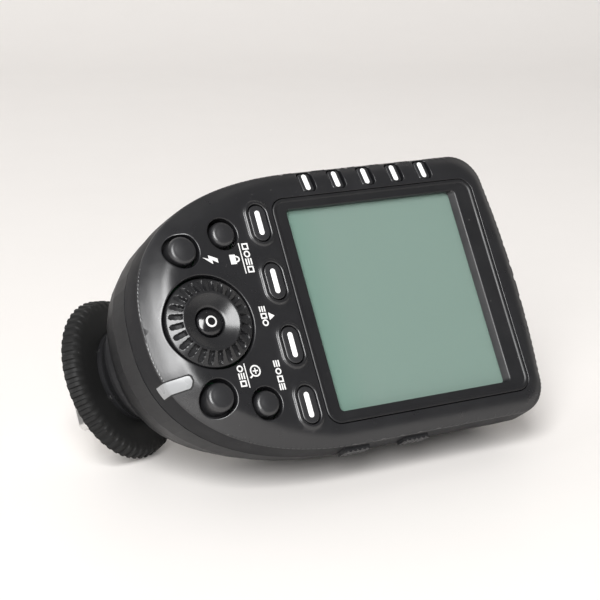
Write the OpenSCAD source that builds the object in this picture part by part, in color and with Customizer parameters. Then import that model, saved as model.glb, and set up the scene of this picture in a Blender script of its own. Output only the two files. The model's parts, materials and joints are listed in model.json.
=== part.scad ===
// Wireless flash trigger for a camera hot shoe, lying on its side on a table.
// Drawn upright (X across the face, Y up towards the display end, Z out of the
// face, dial axis at the origin), then laid over by place().

/* [Body] */
// Width of the body across the display
body_w = 58.4; // [54:0.2:64]
// Length from the dial axis to the display end
end_y = 74.8; // [70:0.2:80]
// Length of the rounded shoe end, measured from the widest point
nose_len = 43.4; // [38:0.2:48]
// Height of the widest point above the dial axis
wide_y = 30; // [24:0.5:36]
// Squareness of the rounded shoe end
nose_pow = 2.4; // [2:0.1:3.2]
// Corner radius at the display end
corner_r = 7; // [4:0.5:10]
// Wall thickness of both shells
wall = 2.2; // [1.6:0.1:3]
// Rise of the dial area above the display plane
dial_rise = 2; // [0:0.1:3]

/* [Display] */
// Width of the visible display
lcd_w = 42.9; // [38:0.1:46]
// Height of the visible display
lcd_h = 40.1; // [36:0.1:44]
// Lower edge of the visible display
lcd_y = 23.8; // [22:0.1:26]
// Width of the window frame
frame_w = 47.6; // [45:0.1:49]
// Height of the window frame
frame_h = 48.7; // [44:0.1:50]
// Lower edge of the window frame
frame_y = 20.6; // [20:0.1:22]

/* [Controls] */
// Radius of the dial
dial_r = 9.1; // [8:0.1:10]
// Number of grooves on the dial
dial_ribs = 24; // [16:1:60]
// Radius of the centre button
set_r = 2.75; // [2:0.05:3.5]
// Length of a soft key
soft_l = 7.6; // [6:0.1:8.4]
// Width of a soft key
soft_w = 3.8; // [3:0.1:4.4]
// Distance between group keys
group_pitch = 7.1; // [6:0.1:8]
// Travel of every push button
press = 0.5; // [0.3:0.1:0.6]

/* [Foot] */
// Tilt of the foot axis from the face normal, degrees
foot_tilt = 31.1; // [0:0.1:45]
// Radius of the threaded post
post_r = 9.8; // [8:0.1:11]
// Pitch of the thread
pitch = 1; // [0.75:0.05:1.25]
// Radius of the lock ring over its knurl
ring_r = 17.3; // [15:0.1:18]
// Number of knurl ribs on the lock ring
ring_ribs = 72; // [40:1:90]
// Width of the standard shoe plate
plate_w = 18.6; // [18.5:0.05:18.7]
// Thickness of the standard shoe plate
plate_t = 2; // [1.9:0.05:2.1]

/* [Power] */
// Diameter of an AA cell
cell_d = 14.3; // [13.8:0.1:14.5]
// Length of an AA cell
cell_l = 50.3; // [49.5:0.1:50.5]

/* [Show] */
// Sub-part to draw, or all of them

/* [Hidden] */
$fn = 48;
half_w = body_w / 2;
lean = 31.6;              // the face leans back this much from upright
lift = 33.607;              // height of the dial axis over the table
shift_x = -26.745;            // centres the laid-down assembly on the origin
shift_y = -14.196;
seam_z = -7.5;
back_z = -28.5;
skew = -0.7;              // the shells reach further out on the group key side
foot_v = 12.32;           // offset of the foot axis in its own frame
chin_s = -23;             // plane of the chin the foot stands on
board_z = -7;             // top of the main board
dome_h = 0.5;
slope_y = frame_y - 0.2;  // where the face starts to rise to the dial
slope = dial_rise / slope_y;
soft_xs = [-19.1, -6.7, 6.7, 19.1];
soft_y = 16.7;
key_tilt = 35;
shell_bolts = [[22.6, 12, -19.6], [20.9, 69.9, -17.8]];
board_bolts = [[10.5, 10.8], [-10.5, 10.8]];
foot_bolts = [[4.6, 7.2], [-4.6, 7.2], [4.6, -7.2], [-4.6, -7.2]];
small_pins = [[-2.7, 3], [2.7, 3], [-2.7, -3.2], [2.7, -3.2]];
// Layers of the shells: height, insets at the sides, shoe end and display end,
// then how much squarer the shoe end is
front_layers = [
  [-7.5, 0, 0, 0, 0], [-4.5, 0.08, 0.15, 0.1, 0], [-1.8, 0.2, 0.45, 0.25, 0],
  [-1.4, 0.42, 0.65, 0.45, 0], [-1.1, 0.95, 1.05, 0.95, 0.04], [0, 2.75, 2.6, 2.6, 0.12],
  [1, 4.5, 4.2, 4.2, 0.22], [1.7, 5.6, 5.3, 5.3, 0.3], [2.3, 6.6, 6.3, 6.3, 0.36]];
rear_layers = [
  [-7.65, 0.1, 0, 0.1, 0], [-13, 0.8, -0.6, 0.5, 0], [-17, 2.1, -0.3, 1.2, 0],
  [-20.5, 3.7, 0.6, 2.2, 0], [-23, 4.1, 1.5, 3, 0], [-24.8, 5, 3, 4, 0],
  [-26.7, 6.7, 4.8, 5.6, 0], [-27.9, 8.9, 7, 7.6, 0], [-28.5, 11.7, 9.5, 10, 0]];

// ---- placing ----
module place() {
  translate([shift_x, shift_y, lift])
    multmatrix([[0, 1, 0, 0],
                [-sin(lean), 0, -cos(lean), 0],
                [-cos(lean), 0, sin(lean), 0],
                [0, 0, 0, 1]]) children();
}
// Frame of the foot: Z up its axis towards the body
module foot() { rotate([-foot_tilt, 0, 0]) translate([0, foot_v, 0]) children(); }
// Frame of one group key: Z out of the sloping edge
module key_seat(i) {
  translate([-27.4, 30.4 + group_pitch * i, -0.8]) rotate([0, -key_tilt, 0]) children();
}
function face_z(y) = y > slope_y ? 0 : min(slope * (slope_y - y), dial_rise + 0.15);

// ---- outlines ----
function nose(dx, dy, sq) = [for (a = [-90:6:90])
  let (s = sin(a), q = 2 / (nose_pow + sq))
  [(half_w - dx) * sign(s) * pow(abs(s), q),
   wide_y - (nose_len - dy) * pow(abs(cos(a)), q)]];
function crown(x, r) = 1.2 * (1 - pow(abs(x) / (half_w - r), 2));
function top_end(dx, de) = let (r = corner_r - 0.35 * dx, c = half_w - dx - r,
                                e = end_y - de - 1.2) concat(
  [for (a = [0:15:75]) [c + r * cos(a), e - r + r * sin(a)]],
  [for (i = [4:-1:-4]) [c * i / 4, e + crown(c * i / 4, corner_r)]],
  [for (a = [105:15:180]) [-c + r * cos(a), e - r + r * sin(a)]]);
module outline(dx, dy, de, sq = 0) {
  translate([skew, 0]) polygon(concat(nose(dx, dy, sq), top_end(dx, de)));
}
module slab(l, g) {
  translate([0, 0, l[0]]) linear_extrude(0.01) outline(l[1] + g, l[2] + g, l[3] + g, l[4]);
}
module stack(layers, g) {
  for (i = [0:len(layers) - 2]) hull() { slab(layers[i], g); slab(layers[i + 1], g); }
}
// Everything above the face, lowered by g
module sky(g) {
  translate([-40, 0, 0]) rotate([90, 0, 90]) linear_extrude(80)
    polygon([[100, -g], [slope_y, -g], [1, dial_rise - 0.1 - g], [-2, dial_rise + 0.15 - g],
             [-40, dial_rise + 0.15 - g], [-40, 20], [100, 20]]);
}
module front_solid(g) { difference() { stack(front_layers, g); sky(g); } }
module chin_cut(s) { foot() translate([-50, -60, s - 60]) cube([100, 120, 60]); }
module pill(l, w) {
  square([l - w, w], center = true);
  for (s = [-1, 1]) translate([s * (l - w) / 2, 0]) circle(d = w);
}
module round_rect(w, h, r) {
  square([w - 2 * r, h], center = true);
  square([w, h - 2 * r], center = true);
  for (x = [-1, 1], y = [-1, 1]) translate([x * (w / 2 - r), y * (h / 2 - r)]) circle(r);
}
module box_at(x0, x1, y0, y1, z0, z1) {
  translate([x0, y0, z0]) cube([x1 - x0, y1 - y0, z1 - z0]);
}
module at_both(p) { for (s = [-1, 1]) translate([s * p[0] + skew, p[1], 0]) children(); }

// ---- shells ----
module frame_area(grow, z0, z1) {
  translate([0, frame_y + frame_h / 2, z0]) linear_extrude(z1 - z0)
    round_rect(frame_w + grow, frame_h + grow, 3);
}
module lamp_slot(grow) {
  translate([0, 0, -3.2]) linear_extrude(8) union() {
    translate([10.8, -8]) circle(1.2 + grow);
    polygon([[9.6 - grow, -8], [12 + grow, -8], [12.3 + grow, -16], [9.9 - grow, -16]]);
  }
}
module front_shell() color([0.06, 0.06, 0.065]) place() difference() {
  union() {
    difference() { front_solid(0); hull_inner_front(); }
    intersection() {
      front_solid(0);
      union() {
        translate([0, 0, -3.2]) cylinder(r = dial_r + 2, h = 6);
        for (p = shell_bolts) at_both(p) translate([0, 0, seam_z]) cylinder(r = 1.7, h = 8);
        for (p = board_bolts) translate([p[0], p[1], board_z]) cylinder(r = 1.7, h = 8);
      }
    }
    for (x = soft_xs) translate([x, soft_y, -1]) linear_extrude(1.75)
      pill(soft_l + 1.7, soft_w + 1.7);
  }
  frame_area(0.2, -1.42, 5);
  translate([0, lcd_y + lcd_h / 2, -4]) linear_extrude(9) round_rect(45, 42.2, 2);
  translate([0, 0, -1.3]) cylinder(r = dial_r + 0.4, h = 6);
  translate([0, 0, -6]) cylinder(r = 5.2, h = 8);
  for (b = round_buttons()) translate([b[0], b[1], -6]) {
    cylinder(r = b[2], h = 11);
    cylinder(r = b[2] + 0.35, h = face_z(b[1]) + 1.95);
  }
  for (x = soft_xs) translate([x, soft_y, -4]) linear_extrude(9) pill(soft_l + 0.4, soft_w + 0.4);
  for (i = [0:4]) key_seat(i) {
    translate([-2.15, -1.7, -4]) cube([4.3, 3.4, 8]);
    translate([-2.5, -2.1, -6]) cube([4.6, 4.2, 3.45]);
  }
  difference() { lamp_slot(0.05); hull() front_solid(1.3); }
  box_at(10, 11.6, -8.6, -6.8, -8, 6);
  for (y = [29, 43]) {
    box_at(28, 31, y - 6.5, y + 6.5, -7, -3.4);
    box_at(20, 31, y - 3.7, y + 3.7, -6.3, -4.2);
  }
  for (p = shell_bolts) at_both(p) translate([0, 0, -8]) cylinder(r = 0.92, h = 5);
  for (p = board_bolts) translate([p[0], p[1], -8]) cylinder(r = 0.77, h = 4.2);
}
module hull_inner_front() {
  difference() {
    union() {
      stack([for (l = front_layers) l], wall);
      translate([0, 0, -9]) linear_extrude(1.6) outline(wall, wall, wall);
    }
    sky(1.9);
  }
}
module rear_shell() color([0.055, 0.055, 0.06]) place() difference() {
  union() {
    difference() {
      stack(rear_layers, 0);
      chin_cut(chin_s);
      difference() { rear_inner(); chin_cut(chin_s + 2.2); }
    }
    difference() {
      translate([0, 0, -10]) linear_extrude(3.6) outline(2.3, 2.3, 2.3);
      translate([0, 0, -11]) linear_extrude(6) outline(3.2, 3.2, 3.2);
      for (p = shell_bolts) at_both(p) translate([0, 0, seam_z - 0.15]) cylinder(r = 2, h = 8);
      box_at(9, 12.6, -16, -4, -7.6, 0);
    }
    intersection() {
      foot() translate([0, 0, -25]) cylinder(r = 12.6, h = 10);
      box_at(-20, 20, -20, 11.4, -50, -8);
    }
    intersection() {
      stack(rear_layers, 0);
      for (p = shell_bolts) at_both(p) translate([0, 0, -30]) cylinder(r = 2.63, h = 22.3, $fn = 40);
    }
  }
  foot() translate([0, 0, -30]) cylinder(r = 8.1, h = 20);
  translate([0, 12.2, 0]) rotate([-90, 0, 0]) linear_extrude(80)
    polygon([[-16, 29], [16, 29], [17.3, 26.6], [-17.3, 26.6]]);
  box_at(-15.4, 15.4, 13.6, 65.2, -30, -20);
  for (p = shell_bolts) at_both(p) {
    translate([0, 0, -31]) cylinder(r = 1, h = 30);
    translate([0, 0, -31]) cylinder(r = 2.1, h = 31 + p[2]);
  }
  translate([-31, 21, -12.5]) rotate([90, 0, 90]) linear_extrude(8) pill(9.2, 3.5);
  translate([-31, 34, -12.5]) rotate([0, 90, 0]) cylinder(r = 3.05, h = 8);
  box_at(-8.1, 8.1, 66, 80, -19.1, -10.9);
}
module rear_inner() {
  intersection() {
    union() {
      stack(rear_layers, wall);
      translate([0, 0, -9]) linear_extrude(3) outline(wall, wall, wall);
    }
    box_at(-40, 40, -40, 90, -25, 0);
  }
}
module battery_door() color([0.05, 0.05, 0.055]) place() difference() {
  intersection() {
    stack(rear_layers, 0);
    translate([0, 12.4, 0]) rotate([-90, 0, 0]) linear_extrude(70)
      polygon([[-15.9, 28.6], [15.9, 28.6], [16.9, 26.75], [-16.9, 26.75]]);
  }
  for (i = [0:4]) box_at(-5 + i * 0.6, 5 - i * 0.6, 56 + i * 1.6, 56.8 + i * 1.6, -30, -28.1);
}

// ---- display ----
module window_frame() color([0.02, 0.02, 0.022]) place() difference() {
  frame_area(0, -1.4, -0.05);
  translate([0, lcd_y + lcd_h / 2, -5]) linear_extrude(9) round_rect(lcd_w, lcd_h, 0.6);
}
module lcd_window() color([0.8, 0.9, 0.88, 0.35]) place()
  translate([0, lcd_y + lcd_h / 2, -1.86]) linear_extrude(0.44) round_rect(44.8, 42, 1.9);
module lcd_panel() color([0.5, 0.6, 0.56]) place() box_at(-22.8, 22.8, 22, 68.2, -4.1, -1.92);
module lcd_backlight() color([0.85, 0.86, 0.84]) place() {
  box_at(-22.4, 22.4, 22.4, 66, -6.2, -4.15);
  box_at(-16, 16, 66.1, 67.6, -6.6, -4.15);
}

// ---- electronics ----
module main_board() color([0.05, 0.2, 0.1]) place() difference() {
  intersection() {
    translate([0, 0, board_z - 1.6]) linear_extrude(1.6) outline(3.6, 3.6, 6.8);
    box_at(-40, 40, -9, 90, -20, 0);
  }
  at_both(shell_bolts[0]) translate([0, 0, -10]) cylinder(r = 2.9, h = 5);
  for (p = board_bolts) translate([p[0], p[1], -10]) cylinder(r = 0.8, h = 5);
}
module switch_domes() color([0.75, 0.72, 0.6]) place() {
  for (b = round_buttons()) translate([b[0], b[1], board_z]) cylinder(r = 1.8, h = dome_h);
  for (x = soft_xs) translate([x, soft_y, board_z]) cylinder(r = 2.4, h = dome_h);
  translate([0, 0, board_z]) cylinder(r = 2, h = dome_h);
}
module group_switch_strip() color([0.5, 0.35, 0.1]) place() {
  key_seat(0) translate([-1.1, -2.5, -4.7]) cube([2.2, 4 * group_pitch + 5, 0.5]);
}
module radio_module() color([0.7, 0.7, 0.72]) place() {
  box_at(-8, 8, 14, 27, -9.4, -8.6);
  box_at(-7, 7, 15, 26, -10.3, -9.4);
}
module antenna() color([0.8, 0.6, 0.3]) place() {
  box_at(18, 23.4, 28, 30, -9.6, -8.6);
  box_at(19, 20, 30, 50, -9.3, -8.6);
  box_at(20, 23.4, 49, 50, -9.3, -8.6);
  box_at(22.4, 23.4, 30, 49, -9.3, -8.6);
}
module lamp_led() color([0.95, 0.9, 0.7]) place() box_at(9.5, 11.1, -8.1, -6.6, board_z, -6);
module switch_bodies() color([0.6, 0.6, 0.62]) place()
  for (y = [29, 43]) box_at(22.6, 24.6, y - 4, y + 4, board_z, -4.6);
module usb_port() color([0.7, 0.7, 0.72]) place()
  translate([-28.9, 21, -12.5]) rotate([90, 0, 90]) {
    difference() {
      linear_extrude(7.2) pill(9, 3.3);
      translate([0, 0, -1]) linear_extrude(7.6) pill(8.3, 2.6);
    }
    translate([-3.3, -0.35, 0.9]) cube([6.6, 0.7, 6]);
  }
module sync_jack() color([0.12, 0.12, 0.13]) place()
  translate([-29.1, 34, -12.5]) rotate([0, 90, 0]) difference() {
    union() {
      cylinder(r = 3, h = 4);
      translate([-3, -3.4, 3.4]) cube([6, 6.8, 8]);
    }
    translate([0, 0, -1]) cylinder(r = 1.3, h = 11);
  }
module af_window() color([0.5, 0.02, 0.03, 0.6]) place() box_at(-8, 8, 70.6, 72.9, -19, -11);
module af_led() color([0.8, 0.1, 0.1]) place() {
  translate([0, 67.4, -15]) rotate([-90, 0, 0]) cylinder(r = 1.5, h = 2.9);
  box_at(-2.2, 2.2, 66.8, 67.4, -17.2, -12.8);
}

// ---- power ----
module battery_cells() color([0.8, 0.62, 0.2]) place()
  for (s = [-1, 1]) translate([s * 7.4, 0, -19.1]) rotate([-90, 0, 0]) {
    translate([0, 0, s > 0 ? 14.7 : 15]) cylinder(d = cell_d, h = cell_l - 1.2);
    translate([0, 0, s > 0 ? 13.5 + cell_l : 13.8]) cylinder(r = 2.7, h = 1.2);
  }
module battery_tray() color([0.1, 0.1, 0.1]) place() difference() {
  box_at(-16, 16, 12.2, 66.6, -24.6, -10.6);
  box_at(-15.2, 15.2, 13.2, 65.6, -30, -11.5);
}
module contact_plates() color([0.78, 0.78, 0.8]) place() {
  box_at(-14, -1, 13.25, 13.7, -24, -13);
  box_at(1, 14, 13.25, 13.7, -24, -13);
  box_at(-14, 14, 65.1, 65.55, -24, -13);
}
module contact_springs() color([0.75, 0.75, 0.77]) place() {
  translate([7.4, 13.7, -19.1]) rotate([-90, 0, 0])
    rotate_extrude() for (i = [0:2]) translate([4.6 - 0.9 * i, 0.15 + 0.27 * i]) circle(0.15);
  translate([-7.4, 65.1, -19.1]) rotate([90, 0, 0])
    rotate_extrude() for (i = [0:2]) translate([4.6 - 0.9 * i, 0.15 + 0.27 * i]) circle(0.15);
}

// ---- dial and buttons ----
module dial_ring() color([0.05, 0.05, 0.055]) place() difference() {
  rotate_extrude() polygon([[3.05, -4.6], [4.9, -4.6], [4.9, -0.9], [dial_r, -0.9],
    [dial_r, 1.5], [dial_r - 0.3, 1.75], [5.8, 2.85], [5.4, 2.8], [4.8, 2.45], [4.2, 2.3],
    [3.05, 2.4]]);
  for (i = [0:dial_ribs - 1]) rotate([0, 0, 360 * i / dial_ribs])
    translate([6.1, -0.26, 2.2]) rotate([0, 18.5, 0]) cube([5, 0.52, 1.6]);
}
module dial_encoder() color([0.3, 0.3, 0.32]) place() difference() {
  translate([0, 0, board_z]) cylinder(r = 6.4, h = 2.3);
  translate([0, 0, board_z - 1]) cylinder(r = 2.4, h = 5);
}
module set_button() color([0.03, 0.03, 0.035]) place() {
  intersection() {
    translate([0, 0, -0.4]) cylinder(r = set_r, h = 4);
    translate([0, 0, -7.2]) sphere(r = 10.2, $fn = 96);
  }
  translate([0, 0, -5.9]) cylinder(r = 1.4, h = 5.5);
}
function round_buttons() = [[-14.9, -2.1, 3.63], [-17.5, 7.7, 3.33],
                            [14.9, -2.1, 3.63], [17.5, 7.7, 3.33]];
module round_button(i) color([0.05, 0.05, 0.055]) place()
  let (b = round_buttons()[i], z = face_z(b[1]), r = b[2] - 0.3)
  translate([b[0], b[1], 0]) {
    intersection() {
      translate([0, 0, z - 2.6]) cylinder(r = r, h = 4);
      translate([0, 0, z + 0.5 - 14]) sphere(r = 14, $fn = 96);
    }
    translate([0, 0, z - 5]) cylinder(r = r + 0.45, h = 0.8);
    translate([0, 0, z - 4.3]) cylinder(r = r - 0.4, h = 1.8);
    translate([0, 0, -5.9]) cylinder(r = 1.3, h = z + 2);
  }
module flash_button() round_button(0);
module mode_button() round_button(1);
module zoom_button() round_button(2);
module menu_button() round_button(3);
module soft_key(i) color([0.05, 0.05, 0.055]) place()
  translate([soft_xs[i], soft_y, 0]) {
    translate([0, 0, -2.4]) linear_extrude(2.9) pill(soft_l, soft_w);
    translate([0, 0, 0.5]) linear_extrude(0.15) pill(5.2, 1.05);
    translate([0, 0, -3]) linear_extrude(0.6) pill(soft_l + 1.2, soft_w + 1.2);
    translate([0, 0, -5.9]) cylinder(r = 1.3, h = 2.9);
  }
module soft_key_1() soft_key(0);
module soft_key_2() soft_key(1);
module soft_key_3() soft_key(2);
module soft_key_4() soft_key(3);
// The cap is pushed along the slope's normal, and its top lies flatter than the slope
module group_key(i) color([0.05, 0.05, 0.055]) place() key_seat(i) {
  intersection() {
    translate([-2, -1.55, -2.7]) cube([4, 3.1, 4.6]);
    rotate([0, key_tilt - 13, 0]) translate([-4, -4, -8]) cube(8);
  }
  rotate([0, key_tilt - 13, 0]) linear_extrude(0.2) pill(3.7, 1.05);
  translate([-2.35, -1.95, -3.3]) cube([4.25, 3.9, 0.6]);
}
module group_key_1() group_key(0);
module group_key_2() group_key(1);
module group_key_3() group_key(2);
module group_key_4() group_key(3);
module group_key_5() group_key(4);
module status_lamp() color([0.85, 0.87, 0.88, 0.6]) place() {
  intersection() {
    difference() { front_solid(0); hull() front_solid(1.2); }
    lamp_slot(0);
  }
  difference() { box_at(10.1, 11.5, -8.5, -6.9, -5.8, 1.5); sky(1); }
}
module side_switch(y) color([0.09, 0.09, 0.095]) place() difference() {
  union() {
    box_at(28.05, 29.2, y - 4.9, y + 0.9, -6.8, -3.6);
    box_at(24.75, 28.1, y - 3.6, y - 0.4, -6.2, -4.3);
  }
  for (i = [0:4]) translate([29.2, y - 4.2 + i * 1.1, -5.2]) rotate([0, 0, 45])
    cube([0.5, 0.5, 6], center = true);
}
module power_switch() side_switch(29);
module af_switch() side_switch(43);

// ---- foot ----
function thread_pts(s0, n) = [for (i = [0:n - 1], k = [0:3])
  [k == 0 || k == 3 ? post_r - 0.45 : post_r,
   s0 - pitch * i - [0, 0.2, 0.6, 0.8][k] * pitch]];
module neck_post() color([0.05, 0.05, 0.055]) place() foot() difference() {
  rotate_extrude() polygon(concat([[3, -16.5], [8.05, -16.5], [8.05, -25], [11.4, -25],
    [11.2, -26.6], [post_r, -28.6]], thread_pts(-28.8, 5), [[post_r - 0.45, -34.2], [3, -34.2]]));
  for (p = foot_bolts) translate([p[0], p[1], -35]) cylinder(r = 0.95, h = 7.2);
}
module pin_holes() {
  translate([0, 0, -50]) cylinder(r = 1.28, h = 20);
  for (p = small_pins) translate([p[0], p[1], -50]) cylinder(r = 0.78, h = 20);
  translate([0, 6.9, -50]) cylinder(r = 1.08, h = 20);
}
module shoe_block() color([0.06, 0.06, 0.065]) place() foot() difference() {
  translate([-6.2, -9, -36.4]) cube([12.4, 18, 2.2]);
  pin_holes();
  for (p = foot_bolts) translate([p[0], p[1], -40]) cylinder(r = 1.05, h = 10);
}
module shoe_plate() color([0.8, 0.8, 0.82]) place() foot() difference() {
  translate([0, 0, -36.4 - plate_t]) linear_extrude(plate_t) round_rect(plate_w, 18, 1.2);
  pin_holes();
  for (p = foot_bolts) translate([p[0], p[1], 0]) {
    translate([0, 0, -40]) cylinder(r = 1.05, h = 10);
    translate([0, 0, -40]) cylinder(r = 1.85, h = 2.7);
  }
}
module centre_pin() color([0.85, 0.68, 0.3]) place() foot() union() {
  translate([0, 0, -38.8]) cylinder(r = 1.2, h = 3.6);
  translate([0, 0, -38.8]) sphere(r = 1.2);
}
module data_pin(i) color([0.85, 0.68, 0.3]) place() foot()
  translate([small_pins[i][0], small_pins[i][1], -38.7]) union() {
    cylinder(r = 0.7, h = 3.5);
    sphere(r = 0.7);
  }
module data_pin_1() data_pin(0);
module data_pin_2() data_pin(1);
module data_pin_3() data_pin(2);
module data_pin_4() data_pin(3);
module locking_pin() color([0.7, 0.7, 0.72]) place() foot() translate([0, 6.9, -38.9]) union() {
  cylinder(r = 1, h = 3.2);
  sphere(r = 1);
}
module lock_ring() color([0.055, 0.055, 0.06]) place() foot() difference() {
  union() {
    translate([0, 0, -33]) linear_extrude(2.5) polygon([for (i = [0:4 * ring_ribs - 1])
      let (r = ring_r - (i % 4 < 2 ? 0 : 0.45), a = 90 * i / ring_ribs) [r * cos(a), r * sin(a)]]);
    rotate_extrude() polygon([[3, -30.8], [16.7, -30.8], [16.7, -30.4], [16, -29.8], [3, -29.8]]);
  }
  translate([0, 0, -34]) cylinder(r = 15.6, h = 2.1);
  translate([0, 0, -40]) cylinder(r = post_r + 0.1, h = 20);
}
module ring_washer() color([0.3, 0.3, 0.31]) place() foot() difference() {
  translate([0, 0, -32.7]) cylinder(r = 14.8, h = 0.75);
  translate([0, 0, -40]) cylinder(r = post_r + 0.1, h = 20);
}

// ---- screws ----
module shell_screws() color([0.15, 0.15, 0.16]) place()
  for (p = shell_bolts) at_both(p) {
    translate([0, 0, p[2] - 1.5]) cylinder(r = 1.9, h = 1.5);
    translate([0, 0, p[2] - 0.1]) cylinder(r = 0.9, h = -3.2 - p[2]);
  }
module board_screws() color([0.7, 0.7, 0.72]) place()
  for (p = board_bolts) translate([p[0], p[1], 0]) {
    translate([0, 0, -9.8]) cylinder(r = 1.5, h = 1.2);
    translate([0, 0, -8.7]) cylinder(r = 0.75, h = 4.6);
  }
module foot_screws() color([0.6, 0.6, 0.62]) place() foot()
  for (p = foot_bolts) translate([p[0], p[1], 0]) {
    translate([0, 0, -38.4]) cylinder(r = 1.8, h = 1.1);
    translate([0, 0, -37.4]) cylinder(r = 0.93, h = 9);
  }

front_shell();
rear_shell();
battery_door();
window_frame();
lcd_window();
lcd_panel();
lcd_backlight();
main_board();
switch_domes();
group_switch_strip();
dial_ring();
dial_encoder();
set_button();
flash_button();
mode_button();
zoom_button();
menu_button();
soft_key_1();
soft_key_2();
soft_key_3();
soft_key_4();
group_key_1();
group_key_2();
group_key_3();
group_key_4();
group_key_5();
status_lamp();
lamp_led();
power_switch();
af_switch();
switch_bodies();
usb_port();
sync_jack();
af_window();
af_led();
battery_cells();
battery_tray();
contact_springs();
contact_plates();
antenna();
radio_module();
neck_post();
shoe_block();
shoe_plate();
centre_pin();
data_pin_1();
data_pin_2();
data_pin_3();
data_pin_4();
locking_pin();
lock_ring();
ring_washer();
shell_screws();
board_screws();
foot_screws();
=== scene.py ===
"""Looks of the flash trigger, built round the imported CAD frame."""
import bpy
import json
import math
import numpy as np
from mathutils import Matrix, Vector
from mathutils.geometry import delaunay_2d_cdt


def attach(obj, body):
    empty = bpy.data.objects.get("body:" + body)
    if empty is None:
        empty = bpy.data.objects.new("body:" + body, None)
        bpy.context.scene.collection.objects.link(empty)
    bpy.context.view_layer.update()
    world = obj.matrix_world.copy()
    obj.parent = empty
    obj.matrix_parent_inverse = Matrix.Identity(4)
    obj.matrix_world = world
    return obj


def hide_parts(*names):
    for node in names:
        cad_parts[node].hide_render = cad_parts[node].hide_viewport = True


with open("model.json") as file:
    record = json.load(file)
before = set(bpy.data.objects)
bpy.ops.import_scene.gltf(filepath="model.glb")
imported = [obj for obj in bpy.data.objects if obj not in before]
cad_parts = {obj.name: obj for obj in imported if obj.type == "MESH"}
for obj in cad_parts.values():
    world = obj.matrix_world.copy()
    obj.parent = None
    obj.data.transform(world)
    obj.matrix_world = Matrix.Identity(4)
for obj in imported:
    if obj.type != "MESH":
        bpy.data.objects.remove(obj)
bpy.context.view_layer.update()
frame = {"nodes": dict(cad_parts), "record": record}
NODES = frame["nodes"]

# ------------------------------------------------------------------ placing
# Shapes are drawn upright in millimetres (X across the face, Y towards the
# display end, Z out of the face, dial axis at the origin) and laid over here.
LEAN = math.radians(31.6)
CO, SI = math.cos(LEAN), math.sin(LEAN)
SHIFT = np.array([-26.745, -14.196, 33.607])
TILT = math.radians(31.1)  # of the foot's axis against the back
FOOT_V = 12.32  # where the foot's axis crosses the dial's plane

# the five group keys sit in a row on the sloping left edge
GROUP_X, GROUP_Y, GROUP_PITCH = -27.0, 30.4, 7.1
GROUP_TILT, GROUP_SINK = math.radians(-13), 0.72


def lay(points):
    """Upright millimetres to metres in the shared frame."""
    p = np.asarray(points, float).reshape(-1, 3)
    x, y, z = p[:, 0], p[:, 1], p[:, 2]
    out = np.stack([y, -SI * x - CO * z, -CO * x + SI * z], 1) + SHIFT
    return out / 1000


def lay_dir(v):
    """The same turn for a direction."""
    x, y, z = v
    return Vector((y, -SI * x - CO * z, -CO * x + SI * z)).normalized()


def foot(points):
    """From the tilted foot's own axes to upright ones."""
    p = np.asarray(points, float).reshape(-1, 3)
    c, s = math.cos(TILT), math.sin(TILT)
    v = p[:, 1] + FOOT_V
    return np.stack([p[:, 0], c * v + s * p[:, 2], -s * v + c * p[:, 2]], 1)


def key_seat(points, i):
    """From a group key's own axes to its place on the edge."""
    p = np.asarray(points, float).reshape(-1, 3)
    c, s = math.cos(GROUP_TILT), math.sin(GROUP_TILT)
    x = c * p[:, 0] + s * p[:, 2] + GROUP_X
    z = -s * p[:, 0] + c * p[:, 2] - GROUP_SINK
    return np.stack([x, p[:, 1] + GROUP_Y + GROUP_PITCH * i, z], 1)


def at(points, x, y):
    return np.asarray(points, float).reshape(-1, 3) + np.array([x, y, 0])


# ---------------------------------------------------------------- materials
def nodes_of(name):
    """A new material with only a principled shader: (material, node tree, shader)."""
    m = bpy.data.materials.new(name)
    m.use_nodes = True
    t = m.node_tree
    t.nodes.clear()
    out = t.nodes.new("ShaderNodeOutputMaterial")
    b = t.nodes.new("ShaderNodeBsdfPrincipled")
    t.links.new(b.outputs[0], out.inputs[0])
    return m, t, b


def noise(t, scale, detail=3.0, rough=0.55, vec=None):
    n = t.nodes.new("ShaderNodeTexNoise")
    n.inputs["Scale"].default_value = scale
    n.inputs["Detail"].default_value = detail
    n.inputs["Roughness"].default_value = rough
    if vec is None:
        vec = coords(t)
    t.links.new(vec, n.inputs["Vector"])
    return n.outputs["Fac"]


def coords(t):
    for n in t.nodes:
        if n.type == "TEX_COORD":
            return n.outputs["Object"]
    return t.nodes.new("ShaderNodeTexCoord").outputs["Object"]


def span(t, fac, lo, hi, a=0.0, b=1.0):
    """Reads a..b as lo..hi."""
    n = t.nodes.new("ShaderNodeMapRange")
    n.inputs[1].default_value = a
    n.inputs[2].default_value = b
    n.inputs[3].default_value = lo
    n.inputs[4].default_value = hi
    t.links.new(fac, n.inputs[0])
    return n.outputs[0]


def mix(t, fac, a, b):
    n = t.nodes.new("ShaderNodeMix")
    n.data_type = "RGBA"
    t.links.new(fac, n.inputs["Factor"])
    for k, v in (("A", a), ("B", b)):
        s = [i for i in n.inputs if i.name == k and i.type == "RGBA"][0]
        if isinstance(v, (tuple, list)):
            s.default_value = (*v, 1.0)
        else:
            t.links.new(v, s)
    return [o for o in n.outputs if o.type == "RGBA"][0]


def bump(t, height, strength, distance):
    n = t.nodes.new("ShaderNodeBump")
    n.inputs["Strength"].default_value = strength
    n.inputs["Distance"].default_value = distance
    t.links.new(height, n.inputs["Height"])
    return n.outputs[0]


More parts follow.
